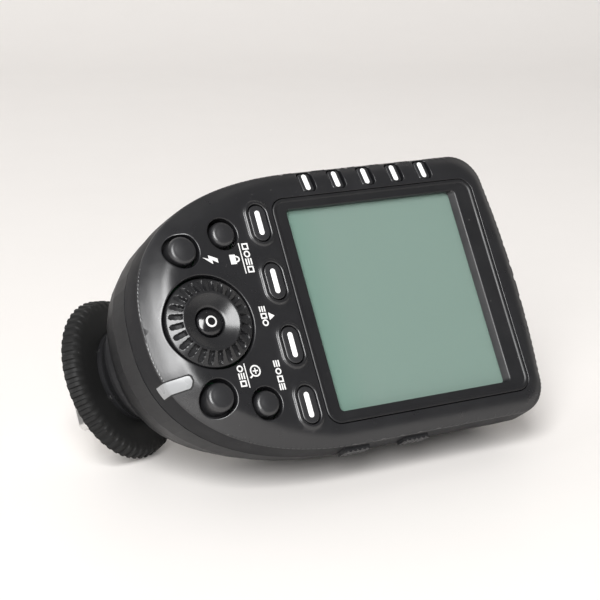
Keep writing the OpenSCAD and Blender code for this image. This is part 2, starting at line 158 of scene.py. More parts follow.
def plastic(name, dark, light, rough, grain=2600, depth=0.00002, coat=0.0, dust=0.35,
            specular=0.5):
    """Moulded plastic: fine spark-eroded grain, faint handling marks and a little dust."""
    m, t, b = nodes_of(name)
    tone = noise(t, 90, 4)
    col = mix(t, tone, dark, light)
    specks = noise(t, 1500, 2, 0.7)
    mask = span(t, specks, 0.0, dust, 0.73, 0.80)
    col = mix(t, mask, col, (0.32, 0.31, 0.30))
    t.links.new(col, b.inputs["Base Color"])
    smear = noise(t, 160, 5, 0.6)
    t.links.new(span(t, smear, rough - 0.05, rough + 0.07, 0.3, 0.7), b.inputs["Roughness"])
    g = noise(t, grain, 2, 0.5)
    t.links.new(bump(t, g, 0.35, depth), b.inputs["Normal"])
    b.inputs["Specular IOR Level"].default_value = specular
    b.inputs["Coat Weight"].default_value = coat
    b.inputs["Coat Roughness"].default_value = 0.12
    return m


def metal(name, dark, light, rough, brush=(1, 1, 1)):
    """Bare or plated metal with a fine, faintly brushed surface."""
    m, t, b = nodes_of(name)
    mp = t.nodes.new("ShaderNodeMapping")
    mp.inputs["Scale"].default_value = brush
    t.links.new(coords(t), mp.inputs["Vector"])
    n = noise(t, 900, 4, 0.6, mp.outputs[0])
    t.links.new(mix(t, n, dark, light), b.inputs["Base Color"])
    b.inputs["Metallic"].default_value = 1.0
    t.links.new(span(t, n, rough - 0.06, rough + 0.08), b.inputs["Roughness"])
    t.links.new(bump(t, n, 0.15, 0.00001), b.inputs["Normal"])
    return m


def clear(name, tint, rough, alpha):
    """Clear or tinted plastic, thinned by its alpha."""
    m, t, b = nodes_of(name)
    n = noise(t, 700, 3)
    t.links.new(mix(t, n, tint, tuple(min(1, c * 1.06) for c in tint)), b.inputs["Base Color"])
    t.links.new(span(t, noise(t, 120, 4), rough, rough + 0.06), b.inputs["Roughness"])
    b.inputs["Alpha"].default_value = alpha
    b.inputs["IOR"].default_value = 1.49
    return m


def display(name):
    """Grey-green reflective liquid crystal, greener towards one side."""
    m, t, b = nodes_of(name)
    sep = t.nodes.new("ShaderNodeSeparateXYZ")
    t.links.new(coords(t), sep.inputs[0])
    wide = noise(t, 25, 2)
    col = mix(t, wide, (0.129, 0.180, 0.155), (0.139, 0.190, 0.164))
    edge = span(t, sep.outputs["X"], 1.0, 0.0, -0.003, 0.006)
    col = mix(t, edge, col, (0.094, 0.170, 0.136))
    t.links.new(col, b.inputs["Base Color"])
    t.links.new(span(t, noise(t, 300, 3), 0.30, 0.36), b.inputs["Roughness"])
    t.links.new(bump(t, noise(t, 4200, 1), 0.1, 0.00001), b.inputs["Normal"])
    b.inputs["Specular IOR Level"].default_value = 0.35
    return m


BLACK = plastic("shell_black", (0.008, 0.008, 0.009), (0.013, 0.013, 0.0145), 0.30,
                specular=0.75)
WALL = plastic("wall_black", (0.010, 0.010, 0.011), (0.016, 0.016, 0.018), 0.5, specular=0.12)
BLACK_REAR = plastic("rear_black", (0.009, 0.009, 0.010), (0.014, 0.014, 0.015), 0.46,
                     grain=2100, depth=0.00003, specular=0.3)
KEY = plastic("key_black", (0.012, 0.012, 0.013), (0.019, 0.019, 0.021), 0.34, grain=3600,
              specular=0.75)
DIAL = plastic("dial_black", (0.011, 0.011, 0.012), (0.017, 0.017, 0.018), 0.24, grain=3800,
               depth=0.000008, specular=0.6)
RING = plastic("ring_black", (0.007, 0.007, 0.007), (0.012, 0.012, 0.012), 0.58, grain=1700,
               depth=0.00002, dust=0.2, specular=0.22)
GLOSS = plastic("gloss_black", (0.006, 0.006, 0.007), (0.009, 0.009, 0.010), 0.16, grain=900,
                depth=0.000004, coat=0.5, dust=0.5)
FRAME = plastic("frame_black", (0.007, 0.007, 0.008), (0.011, 0.011, 0.012), 0.38, grain=1500,
                depth=0.00001, dust=0.5)
# painted shade: a near-black copy of the shell plastic for the seam groove and the gap round the
# status lamp, where there is only shade
GAP_SHADE = plastic("painted_gap_shade", (0.003, 0.003, 0.003), (0.005, 0.005, 0.005), 0.7, dust=0.0)
WHITE = plastic("white_bar", (0.80, 0.80, 0.79), (0.9, 0.9, 0.89), 0.4, dust=0.0)
PRINT = plastic("white_print", (0.62, 0.62, 0.61), (0.76, 0.76, 0.75), 0.6, dust=0.0)
LAMP = clear("lamp_clear", (0.25, 0.255, 0.26), 0.24, 1.0)
WINDOW = clear("window_clear", (0.35, 0.50, 0.44), 0.12, 0.1)
LCD = display("display_green")
STEEL = metal("plate_steel", (0.62, 0.61, 0.6), (0.78, 0.78, 0.77), 0.3, (1, 6, 1))
SPRING = metal("spring_steel", (0.55, 0.55, 0.56), (0.75, 0.75, 0.76), 0.22)
GOLD = metal("gold_contact", (0.72, 0.5, 0.2), (0.88, 0.66, 0.32), 0.22)
DARK_STEEL = metal("dark_steel", (0.05, 0.05, 0.055), (0.11, 0.11, 0.12), 0.4)
CELL = metal("cell_wrap", (0.5, 0.36, 0.12), (0.62, 0.46, 0.18), 0.35)
BOARD = plastic("board_green", (0.012, 0.09, 0.035), (0.02, 0.13, 0.05), 0.35, dust=0.1)
DIFFUSER = plastic("diffuser", (0.7, 0.71, 0.69), (0.8, 0.81, 0.79), 0.5, dust=0.0)
AMBER = plastic("flex_amber", (0.35, 0.18, 0.04), (0.45, 0.25, 0.06), 0.35, dust=0.0)
RED_CLEAR = clear("red_filter", (0.30, 0.008, 0.012), 0.12, 0.85)
RED_LED = plastic("led_red", (0.5, 0.02, 0.02), (0.65, 0.04, 0.03), 0.15, dust=0.0)
WARM_LED = plastic("led_white", (0.8, 0.75, 0.55), (0.9, 0.86, 0.7), 0.3, dust=0.0)

BY_SLOT = {"black_shell": BLACK_REAR, "black_key": KEY, "gloss_black": GLOSS,
           "clear_window": WINDOW, "display": LCD, "diffuser": DIFFUSER,
           "board_green": BOARD, "light_guide": LAMP, "red_filter": RED_CLEAR,
           "spring_steel": SPRING, "plated_steel": STEEL, "gold_contact": GOLD,
           "dark_steel": DARK_STEEL, "cell_wrap": CELL, "flex_amber": AMBER,
           "led_red": RED_LED, "led_white": WARM_LED}
# every CAD piece in its slot's material; some give way to finer ones below
for part in frame["record"]["subparts"]:
    o = NODES[part["node"]]
    o.data.materials.clear()
    o.data.materials.append(BY_SLOT[part["material_slot"]])
    o.data.shade_smooth()
    o.data.set_sharp_from_angle(angle=math.radians(32))


# -------------------------------------------------------------- mesh helpers
def piece(name, verts, faces, body, mats, slot, replaces=(), sharp=35, placed=None):
    """A mesh drawn in upright millimetres, laid into place and riding on a body.

    mats: its materials; placed: which of them each face has."""
    me = bpy.data.meshes.new(name)
    me.from_pydata([tuple(v) for v in lay(verts)], [], [tuple(f) for f in faces])
    me.validate()
    for m in mats:
        me.materials.append(m)
    if placed is not None:
        me.polygons.foreach_set("material_index", np.asarray(placed, np.int32))
    me.shade_smooth()
    me.set_sharp_from_angle(angle=math.radians(sharp))
    o = bpy.data.objects.new(name, me)
    bpy.context.scene.collection.objects.link(o)
    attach(o, body)
    if replaces:
        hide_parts(*replaces)


def join(*parts):
    """Several (verts, faces) as one."""
    vs, fs, n = [], [], 0
    for v, f in parts:
        v = np.asarray(v, float).reshape(-1, 3)
        vs.append(v)
        fs += [tuple(i + n for i in face) for face in f]
        n += len(v)
    return np.concatenate(vs), fs


def loft(loops, capped=False):
    """Quads between closed loops of equal length."""
    n = len(loops[0])
    v = np.concatenate([np.asarray(l, float).reshape(-1, 3) for l in loops])
    f = []
    for k in range(len(loops) - 1):
        a, b = k * n, (k + 1) * n
        for i in range(n):
            j = (i + 1) % n
            f.append((a + i, a + j, b + j, b + i))
    if capped:
        f.append(tuple(range(n))[::-1])
        f.append(tuple(range((len(loops) - 1) * n, len(loops) * n)))
    return v, f


def turned(profile, n):
    """A closed turned solid: profile runs from the top centre outwards and down."""
    a = np.linspace(0, 2 * math.pi, n, endpoint=False)
    loops = [np.stack([r * np.cos(a), r * np.sin(a), np.full(n, z)], 1) for r, z in profile]
    return loft(loops, True)


def pill_loop(l, w, d=0.0, n=56):
    """A slot's outline, grown by d."""
    r = w / 2 + d
    h = (l - w) / 2
    k = n // 2
    a = np.linspace(-math.pi / 2, math.pi / 2, k)
    right = np.stack([h + r * np.cos(a), r * np.sin(a)], 1)
    left = np.stack([-h - r * np.cos(a), -r * np.sin(a)], 1)
    return np.concatenate([right, left])


def rrect_loop(w, h, r, d=0.0, n=14):
    """A rounded rectangle's outline, grown by d; its long sides are cut in ten."""
    side, long_side = 10, 2.5
    w, h, r = w / 2 + d, h / 2 + d, max(r + d, 0.05)
    pts = []
    for cx, cy, a0 in ((w - r, h - r, 0), (-w + r, h - r, 90), (-w + r, -h + r, 180),
                       (w - r, -h + r, 270)):
        for a in np.linspace(a0, a0 + 90, n):
            t = math.radians(a)
            pts.append((cx + r * math.cos(t), cy + r * math.sin(t)))
    pts = np.array(pts)
    out = []
    for i, p in enumerate(pts):
        q = pts[(i + 1) % len(pts)]
        out.append(p)
        if np.hypot(*(q - p)) > long_side:
            for k in range(1, side):
                out.append(p + (q - p) * k / side)
    return np.array(out)


def ring_loop(r, n=72):
    a = np.linspace(0, 2 * math.pi, n, endpoint=False)
    return np.stack([r * np.cos(a), r * np.sin(a)], 1)


def raise_loop(loop, z):
    return np.column_stack([loop, np.full(len(loop), z) if np.isscalar(z) else z])


# ---------------------------------------------------------- body outlines
# The body's outline is a blunt nose curve below WIDE and a box with rounded
# corners above it. Each row of FRONT is one layer of the front shell, from the
# seam up: height, inset of the sides, of the nose and of the display end, and
# how much squarer the nose is.
HALF, END, NOSE, WIDE, POW, CORNER = 29.2, 74.8, 43.4, 30.0, 2.4, 7.0
CROWN = 1.2  # bow of the display end
SKEW = -0.7
FRONT = np.array([
    [-7.5, 0, 0, 0, 0], [-4.5, 0.08, 0.15, 0.1, 0], [-1.8, 0.2, 0.45, 0.25, 0],
    [-1.4, 0.42, 0.65, 0.45, 0], [-1.1, 0.95, 1.05, 0.95, 0.04], [0, 2.75, 2.6, 2.6, 0.12],
    [1, 4.5, 4.2, 4.2, 0.22], [1.7, 5.6, 5.3, 5.3, 0.3], [2.3, 6.6, 6.3, 6.3, 0.36],
    [2.9, 7.65, 7.3, 7.3, 0.4], [3.5, 8.7, 8.3, 8.3, 0.44]])


def layer(table, s):
    """Smooth reading of a layer table at a fractional index."""
    n = len(table) - 1
    s = min(max(s, 0), n)
    k = min(int(s), n - 1)
    t = s - k
    p = [table[max(min(k + d, n), 0)] for d in (-1, 0, 1, 2)]
    m1, m2 = (p[2] - p[0]) / 2, (p[3] - p[1]) / 2
    t2, t3 = t * t, t * t * t
    return ((2 * t3 - 3 * t2 + 1) * p[1] + (t3 - 2 * t2 + t) * m1
            + (-2 * t3 + 3 * t2) * p[2] + (t3 - t2) * m2)


def outline(row):
    """Closed loop of one layer, the same number of points at every layer."""
    _, dx, dy, de, sq = row
    a = np.radians(np.linspace(-90, 90, 120))
    q = 2 / (POW + sq)
    x = (HALF - dx) * np.sign(np.sin(a)) * np.abs(np.sin(a)) ** q
    y = WIDE - (NOSE - dy) * np.abs(np.cos(a)) ** q
    r = CORNER - 0.35 * dx
    c, e = HALF - dx - r, END - de - CROWN
    up = np.linspace(WIDE, e - r, 26)[1:-1]
    arc = np.radians(np.linspace(0, 90, 14))
    cr = np.linspace(c, -c, 30)[1:-1]
    crown = CROWN * (1 - (cr / (HALF - CORNER)) ** 2)
    edge = CROWN * (1 - (c / (HALF - CORNER)) ** 2)
    ramp = np.sin(arc) ** 3 * edge
    parts = [np.stack([x, y], 1), np.stack([np.full(len(up), HALF - dx), up], 1),
             np.stack([c + r * np.cos(arc), e - r + r * np.sin(arc) + ramp], 1),
             np.stack([cr, e + crown], 1),
             np.stack([-c - r * np.cos(arc), e - r + r * np.sin(arc) + ramp], 1)[::-1],
             np.stack([np.full(len(up), -HALF + dx), up[::-1]], 1)]
    return np.concatenate(parts) + (SKEW, 0)


def inside(points, poly):
    """Even-odd test of many points at once."""
    x, y = points[:, 0][:, None], points[:, 1][:, None]
    x1, y1 = poly[:, 0][None], poly[:, 1][None]
    x2, y2 = np.roll(poly[:, 0], -1)[None], np.roll(poly[:, 1], -1)[None]
    cross = ((y1 > y) != (y2 > y)) & (x < (x2 - x1) * (y - y1) / (y2 - y1 + 1e-12) + x1)
    return cross.sum(1) % 2 == 1


def distance(points, poly):
    """From each point to the nearest place on a closed outline."""
    p = points[:, None, :]
    a, b = poly[None], np.roll(poly, -1, 0)[None]
    ab = b - a
    t = np.clip(((p - a) * ab).sum(2) / ((ab ** 2).sum(2) + 1e-12), 0, 1)
    return np.sqrt((((a + ab * t[..., None]) - p) ** 2).sum(2)).min(1)


LEVELS = np.linspace(1.6, 10, 43)
LEVEL_LOOPS = [outline(layer(FRONT, s)) for s in LEVELS]
SLOPE_Y = 20.4  # where the rise round the dial ends


def roof(y):
    """Height of the face: flat at the display, rising towards the dial."""
    return np.interp(np.asarray(y, float),
                     [-20, -2, 1, 7, SLOPE_Y - 1.5, SLOPE_Y + 1.5, 100],
                     [2.15, 2.15, 1.92, 1.33, 0.17, 0, 0])


def face_height(points, row=None):
    """Height of the front shell's outside over (x, y), smoothly below the roof.

    row: the layer the points are on, where that is known."""
    points = np.asarray(points, float)
    if row is None:
        sd = np.stack([np.where(inside(points, l), 1, -1) * distance(points, l)
                       for l in LEVEL_LOOPS], 1)
        at_row = np.full(len(points), LEVELS[-1])
        for i, d in enumerate(sd):
            neg = np.nonzero(d < 0)[0]
            if len(neg):
                k = neg[0]
                at_row[i] = LEVELS[0] if k == 0 else (
                    LEVELS[k - 1] + (LEVELS[k] - LEVELS[k - 1]) * d[k - 1]
                    / (d[k - 1] - d[k]))
    else:
        at_row = [row] * len(points)
    z = np.array([layer(FRONT, s)[0] for s in at_row])
    top = roof(points[:, 1])
    blend = 1.0
    h = np.clip(0.5 + 0.5 * (z - top) / blend, 0, 1)
    return z * (1 - h) + top * h - blend * h * (1 - h)


def sheet(outer, loops, holes, step=1.1, near=0.55):
    """Triangles over a flat region with rings of points round each hole.

    outer: (points, heights) of the rim; loops: more such lines of points;
    holes: lists of (ring, height change), from the widest ring to the edge;
    step: spacing of the points between; near: their least gap to a ring."""
    pts, zs, edges = [outer[0]], [outer[1]], []

    def chain(n0, n):
        return [(n0 + i, n0 + (i + 1) % n) for i in range(n)]

    edges += chain(0, len(outer[0]))
    total = len(outer[0])
    hole_edges = []
    rims = [h[-1][0] for h in holes]
    wides = [h[0][0] for h in holes]
    for h in holes:
        for ring, dz in h:
            z = face_height(ring) + dz
            pts.append(ring)
            zs.append(z)
            edges += chain(total, len(ring))
            first = total
            total += len(ring)
        hole_edges.append((first, len(h[-1][0])))

    def clear_of_holes(p, gap):
        ok = np.ones(len(p), bool)
        for w in wides:
            ok &= ~inside(p, w) & (distance(p, w) > gap)
        return ok

    for p, z in loops:
        ok = clear_of_holes(p, 0.3)
        pts.append(p[ok])
        zs.append(z[ok])
        total += ok.sum()
    lo, hi = outer[0].min(0), outer[0].max(0)
    gx, gy = np.meshgrid(np.arange(lo[0], hi[0], step), np.arange(lo[1], hi[1], step))
    g = np.stack([gx.ravel(), gy.ravel()], 1)
    g[:, 0] += np.where((np.round((g[:, 1] - lo[1]) / step) % 2) > 0, step / 2, 0)
    known = np.concatenate(pts)
    ok = inside(g, outer[0]) & clear_of_holes(g, near)
    g = g[ok]
    d = np.sqrt(((g[:, None] - known[None]) ** 2).sum(2)).min(1)
    g = g[d > near]
    pts.append(g)
    zs.append(face_height(g))
    flat = np.concatenate(pts)
    z = np.concatenate(zs)
    got = delaunay_2d_cdt([Vector(p) for p in flat], edges, [], 0, 1e-5)
    tri_pts = np.array([tuple(v) for v in got[0]])
    origin = [o[0] if o else -1 for o in got[3]]
    tris = np.array(got[2])
    zz = np.array([z[o] if o >= 0 else 0.0 for o in origin])
    missing = [i for i, o in enumerate(origin) if o < 0]
    if missing:
        zz[missing] = face_height(tri_pts[missing])
    mid = tri_pts[tris].mean(1)
    keep = inside(mid, outer[0])
    for r in rims:
        keep &= ~inside(mid, r)
    tris = tris[keep]
    v = np.column_stack([tri_pts, zz])
    where = {}
    for i, o in enumerate(origin):
        if o >= 0:
            where.setdefault(o, i)
    rim_ids = [[where[a + k] for k in range(n)] for a, n in hole_edges]
    return v, [tuple(t) for t in tris], rim_ids


def rounding(radius, steps=5):
    """(inset, drop) pairs for a rounded edge turning down into a hole."""
    a = np.linspace(0, math.pi / 2, steps)
    return [(radius * (1 - math.sin(t)), radius * (1 - math.cos(t))) for t in a]


def hole(loop_at, radius=0.3):
    """Rings from the plain face down a rounded edge to the hole."""
    rings = [(loop_at(radius * 1.6), 0.0)]
    return rings + [(loop_at(a), -b) for a, b in rounding(radius)]


def walls(v, rims, depths):
    """Straight walls down from each hole's rim."""
    v, f = list(map(tuple, v)), []
    for ids, depth in zip(rims, depths):
        n = len(ids)
        low = len(v)
        v += [(v[i][0], v[i][1], v[i][2] - depth) for i in ids]
        for k in range(n):
            j = (k + 1) % n
            f.append((ids[k], ids[j], low + j, low + k))
    return v, f


def merged(v, f, grid=1e-3):
    """The same mesh with points closer than the grid made one."""
    v = np.asarray(v, float)
    _, first, back = np.unique(np.round(v / grid).astype(np.int64), axis=0,
                               return_index=True, return_inverse=True)
    back = back.ravel()
    out = []
    for face in f:
        g = [int(back[i]) for i in face]
        g = [a for k, a in enumerate(g) if a != g[k - 1]]
        if len(set(g)) >= 3:
            out.append(tuple(g))
    return v[first], out


# ---------------------------------------------------------------- front shell
# round buttons: centre and radius of the hole
ROUND = {"flash_button": (-14.9, -2.1, 3.63), "mode_button": (-17.5, 7.7, 3.33),
         "zoom_button": (14.9, -2.1, 3.63), "menu_button": (17.5, 7.7, 3.33)}
SOFT_X, SOFT_Y, SOFT_L, SOFT_W = (-19.1, -6.7, 6.7, 19.1), 16.7, 7.6, 3.8
FRAME_C = (0, 44.95)
FRAME_W, FRAME_H = 47.6, 48.7
LCD_C, LCD_W, LCD_H = (0, 43.85), 42.9, 40.1
RIM_ROW = 2.0  # the layer where the upright wall turns into the slope
FOOTPRINT = outline(FRONT[0])


def front_shell():
    """The shell as one skin: the face with its holes, the wall and the seam groove."""
    rim = outline(layer(FRONT, RIM_ROW))
    loops = []
    for s in (2.3, 2.6, 2.8, 3, 3.25, 3.5, 3.75, 4, 4.35, 4.7, 5.05, 5.4, 5.8, 6.2, 6.6, 7,
              7.5, 8):
        p = outline(layer(FRONT, s))
        loops.append((p, face_height(p, s)))
    holes, depths = [], []
    holes.append(hole(lambda d: ring_loop(9.55 + d, 120), 0.32))
    depths.append(3.2)
    for x, y, r in ROUND.values():
        holes.append(hole(lambda d, x=x, y=y, r=r: ring_loop(r + d, 72) + (x, y), 0.3))
        depths.append(2.6)
    for x in SOFT_X:
        lip = [(1.0, 0), (0.9, 0.06), (0.78, 0.2), (0.62, 0.33), (0.45, 0.38), (0.28, 0.37),
               (0.12, 0.28), (0.03, 0.14), (0, 0.0)]
        holes.append([(pill_loop(8.0, 4.2, d) + (x, SOFT_Y), h) for d, h in lip])
        depths.append(2.6)
    for i in range(5):
        c = (GROUP_X, GROUP_Y + GROUP_PITCH * i)
        holes.append(hole(lambda d, c=c: rrect_loop(4.5, 3.5, 0.9, d, 8) + c, 0.14))
        depths.append(2.4)
    holes.append(hole(lambda d: rrect_loop(FRAME_W + 0.3, FRAME_H + 0.3, 3.1, d) + FRAME_C,
                      0.16))
    depths.append(1.4)
    v, f, rims = sheet((rim, face_height(rim, RIM_ROW)), loops, holes)
    v, wf = walls(v, rims, depths)
    f = f + wf
    side = [raise_loop(outline(layer(FRONT, s)), layer(FRONT, s)[0])
            for s in (2, 1.75, 1.5, 1.25, 1, 0.75, 0.5, 0.25, 0.14)]
    for inset, z in ((0.06, -7.05), (0.45, -7.1), (0.8, -7.3), (1.6, -7.3), (1.8, -6.5)):
        row = layer(FRONT, 0).copy()
        row[1:4] += inset
        side.append(raise_loop(outline(row), z))
    sv, sf = loft(side)
    v, f = merged(*join((v, f), (sv, [q[::-1] for q in sf])))
    v = np.asarray(v)
    wall_top, wall_in, seam_top = -1.79, 1.2, -7.02

    def material_of(face):
        top = v[list(face)][:, 2].max()
        # faces in the seam groove take the near-black third material: painted shade in the seam
        if top < seam_top:
            return 2
        return int(len(face) == 4 and top < wall_top and
                   distance(v[list(face)][:, :2], FOOTPRINT).max() < wall_in)

    piece("front_shell_look", v, f, "housing", [BLACK, WALL, GAP_SHADE], "black_shell",
          ["front_shell"], sharp=40, placed=[material_of(face) for face in f])


front_shell()


# ---------------------------------------------------------------- status lamp
def strip(width, lift, skirt, start, stop):
    """A band that follows the shell from the face at y = start over the rim to
    the layer stop, standing proud by lift and sunk by skirt."""
    rows, across = 34, 11
    lamp_x, lean = 10.8, 0.25
    tip, on_face = 0.14, 0.7  # shares of the length: rounded end, part on the face
    grid = np.zeros((rows, across, 3))
    for j in range(across):
        w = (j / (across - 1) - 0.5) * 2
        for i in range(rows):
            t = i / (rows - 1)
            half = width / 2
            if t < tip:
                half *= math.sqrt(max(0.0, 1 - (1 - t / tip) ** 2)) * 0.98 + 0.02
            grid[i, j, :2] = (lamp_x + w * half, t)
    for j in range(across):
        edge_loops = {}
        for i in range(rows):
            x, t = grid[i, j, 0], grid[i, j, 1]
            x += lean * t
            if t < on_face:
                nose = outline(layer(FRONT, RIM_ROW))[60:120]
                rim_y = np.interp(x, nose[:, 0], nose[:, 1])
                y = start + (rim_y - start) * t / on_face
                off_rim = 0.0 if t < 0.66 else 0.02
                z = face_height(np.array([[x, y + off_rim]]))[0]
            else:
                s = RIM_ROW + (stop - RIM_ROW) * (t - on_face) / 0.3
                if s not in edge_loops:
                    edge_loops[s] = outline(layer(FRONT, s))[60:120]
                nose = edge_loops[s]
                y = np.interp(x, nose[:, 0], nose[:, 1])
                z = layer(FRONT, s)[0]
            grid[i, j] = (x, y, z)
    du = np.gradient(grid, axis=0)
    dv = np.gradient(grid, axis=1)
    nrm = np.cross(dv, -du)
    nrm /= np.linalg.norm(nrm, axis=2, keepdims=True) + 1e-9
    if nrm[rows // 3, across // 2, 2] < 0:
        nrm = -nrm
    crown = 1 - 0.25 * (np.abs(np.linspace(-1, 1, across)) ** 4)[None, :, None]
    top = grid + nrm * lift * crown
    low = grid - nrm * skirt
    ring = [(i, 0) for i in range(rows)] + [(rows - 1, j) for j in range(1, across)]
    ring += [(i, across - 1) for i in range(rows - 2, -1, -1)]
    ring += [(0, j) for j in range(across - 2, 0, -1)]
    v = np.concatenate([top.reshape(-1, 3), [low[i, j] for i, j in ring]])
    f = []
    for i in range(rows - 1):
        for j in range(across - 1):
            a = i * across + j
            f.append((a, a + 1, a + across + 1, a + across))
    base = rows * across
    for k in range(len(ring)):
        q = (k + 1) % len(ring)
        a = ring[k][0] * across + ring[k][1]
        b = ring[q][0] * across + ring[q][1]
        f.append((a, b, base + q, base + k))
    return v, f


piece("status_lamp_look", *strip(2.4, 0.16, 0.5, -6.6, 1.0), "housing", [LAMP],
      "light_guide", ["status_lamp"], sharp=50)
# a near-black band round the lamp: painted shade of the gap between lamp and shell
piece("status_lamp_gap_shade", *strip(2.95, 0.035, 0.4, -6.3, 0.92), "housing", [GAP_SHADE],
      "black_shell", sharp=60)

# ------------------------------------------------------------- window frame


def window_frame():
    """A beaded rim round the recess, and the recess's walls down to the glass."""
    def outer(d):
        return rrect_loop(FRAME_W, FRAME_H, 3.0, d, 12) + FRAME_C

    def inner(d):
        return rrect_loop(LCD_W, LCD_H, 0.9, d, 12) + LCD_C

    bead = [(0, -1.3), (0, -0.12), (-0.05, 0.02), (-0.18, 0.09), (-0.36, 0.12), (-0.55, 0.09),
            (-0.72, -0.02), (-0.85, -0.1), (-1.0, -0.12)]
    loops = [raise_loop(outer(d), z) for d, z in bead]
    for d, z, far in ((0.3, -0.12, 1.0), (0.14, -0.14, 1.0), (0.05, -0.2, 0.97),
                      (0, -0.32, 0.9), (0, -1.38, 0), (0.9, -1.38, 0)):
        loop = inner(d)
        # the wall at the display end slopes back from the glass
        loop[:, 1] += far * np.clip((loop[:, 1] - LCD_C[1]) / (LCD_H / 2), 0, 1)
        loops.append(raise_loop(loop, z))
    v, f = loft(loops)
    piece("window_frame_look", v, [q[::-1] for q in f], "housing", [FRAME], "gloss_black",
          ["window_frame"], sharp=40)


window_frame()

# ------------------------------------------------------------------ buttons


def round_button(name, x, y, r):
    """A domed cap with a full round edge in a hole of radius r, on its stem."""
    gap, edge_r, proud, dome = 0.72, 1.05, 0.68, 0.55
    zf = float(roof(y))
    big = r - gap
    top = zf + proud
    prof = [(0.02, top)]
    for k in range(1, 9):
        q = (big - edge_r) * k / 8
        prof.append((q, top - dome * (q / big) ** 2))
    edge = prof[-1][1]
    for t in np.linspace(0, math.pi / 2, 9)[1:]:
        prof.append((big - edge_r + edge_r * math.sin(t),
                     edge - edge_r * (1 - math.cos(t))))
    prof += [(big, zf - 4.15), (r + 0.1, zf - 4.2), (r + 0.1, zf - 5), (1.3, zf - 5.05),
             (1.3, -5.85), (0.02, -5.9)]
    v, f = turned(prof, 80)
    piece(name + "_look", at(v, x, y), [q[::-1] for q in f], name, [KEY], "black_key",
          [name], sharp=42)


for key, (bx, by, br) in ROUND.items():
    round_button(key, bx, by, br)


def bar_key(body, loop_at, bar_at, z0, top, place, edge=0.32, proud=0.1):
    """A dark cap with a white bar moulded in, as one mesh with two materials.

    loop_at, bar_at: the cap's and the bar's outline grown by a distance;
    place: from the key's own axes to upright ones."""
    loops = [raise_loop(loop_at(0.0), z0), raise_loop(loop_at(0.0), top - edge)]
    for t in np.linspace(0, math.pi / 2, 6)[1:]:
        inset, rise = edge * (1 - math.cos(t)), edge * math.sin(t)
        loops.append(raise_loop(loop_at(-inset), top - edge + rise))
    loops.append(raise_loop(loop_at(-edge - 0.25), top + 0.02))
    cap_v, cap_f = loft(loops, True)
    bar = [raise_loop(bar_at(0.0), top - 0.1), raise_loop(bar_at(0.0), top + proud * 0.5),
           raise_loop(bar_at(-0.06), top + proud * 0.85), raise_loop(bar_at(-0.16), top + proud)]
    bar_v, bar_f = loft(bar, True)
    v, f = join((cap_v, cap_f), (bar_v, bar_f))
    piece(body + "_look", place(v), f, body, [KEY, WHITE], "black_key", [body], sharp=38,
          placed=[0] * len(cap_f) + [1] * len(bar_f))


for n, sx in enumerate(SOFT_X):
    bar_key(f"soft_key_{n + 1}", lambda d: pill_loop(SOFT_L, SOFT_W, d),
            lambda d: pill_loop(5.2, 1.1, d, 32), -2.9, 0.62,
            lambda v, sx=sx: at(v, sx, SOFT_Y))
for n in range(5):
    bar_key(f"group_key_{n + 1}", lambda d: rrect_loop(4.25, 2.75, 0.6, d, 8),
            lambda d: pill_loop(3.8, 1.1, d, 32), -2.7, 0.0,
            lambda v, n=n: key_seat(v, n), edge=0.25, proud=0.16)

# --------------------------------------------------------------------- dial


def dial():
    """Ring with a conical dish inside its crest and short slots across its skirt."""
    slots, per = 24, 24
    slot_half, slot_end, slot_soft = 0.5, 8.55, 0.2
    skirt_in, skirt_out, skirt_z, skirt_fall = 6.12, 8.92, 2.72, 0.5
    n = slots * per
    a = np.linspace(0, 2 * math.pi, n, endpoint=False)
    prof = [(3.04, -4.5, 0), (3.04, 1.36, 0), (3.1, 1.47, 0), (3.22, 1.56, 0), (3.6, 1.72, 0),
            (4.2, 1.99, 0), (4.8, 2.29, 0), (5.3, 2.55, 0), (5.55, 2.69, 0), (5.72, 2.77, 0),
            (5.85, 2.8, 0), (5.98, 2.78, 0), (6.08, 2.74, 0)]
    for k in range(22):
        r = skirt_in + (skirt_out - skirt_in) * k / 21
        prof.append((r, skirt_z - skirt_fall * (r - skirt_in), 1))
    prof += [(9.0, 1.25, 0), (9.06, 1.16, 0), (9.09, 1.02, 0), (9.1, 0.6, 0), (9.1, -0.8, 0),
             (4.9, -0.88, 0), (4.9, -4.55, 0)]
    loops = []
    phase = (a * slots / (2 * math.pi)) % 1.0
    off = np.minimum(phase, 1 - phase) * (2 * math.pi / slots)
    for r, z, slotted in prof:
        zz = np.full(n, z)
        if slotted:
            past_end = max(r - (slot_end - slot_half), 0)
            gap = np.hypot(past_end, off * r) - slot_half
            g = np.clip(0.5 - gap / slot_soft, 0, 1)
            g = g * g * (3 - 2 * g)
            scoop = 1 - np.clip((r - 7.2) / 1.4, 0, 1) ** 2
            floor_z = 1.72 - 0.25 * (r - 6.1)
            zz = zz + (np.minimum(floor_z, zz) - zz) * g * (0.35 + 0.65 * scoop)
        loops.append(np.stack([r * np.cos(a), r * np.sin(a), zz], 1))
    loops.append(loops[0])
    v, f = merged(*loft(loops), 1e-4)
    piece("dial_look", v, f, "dial", [DIAL], "black_key", ["dial_ring"], sharp=38)


SET_TOP, SET_R, SET_DOME = 2.3, 2.35, 0.6


def set_button():
    """The domed button in the middle of the dial, on its stem."""
    prof = [(0.02, SET_TOP)]
    prof += [(SET_R * k / 8, SET_TOP - SET_DOME * (k / 8) ** 2) for k in range(1, 9)]
    prof += [(2.52, 1.58), (2.65, 1.43), (2.73, 1.25), (2.75, 1.0), (2.75, -0.4),
             (1.4, -0.42), (1.4, -5.85), (0.02, -5.9)]
    v, f = turned(prof, 72)
    piece("set_button_look", v, [q[::-1] for q in f], "set_button", [GLOSS], "gloss_black",
          ["set_button"], sharp=42)


dial()
set_button()

# ---------------------------------------------------------------- lock ring


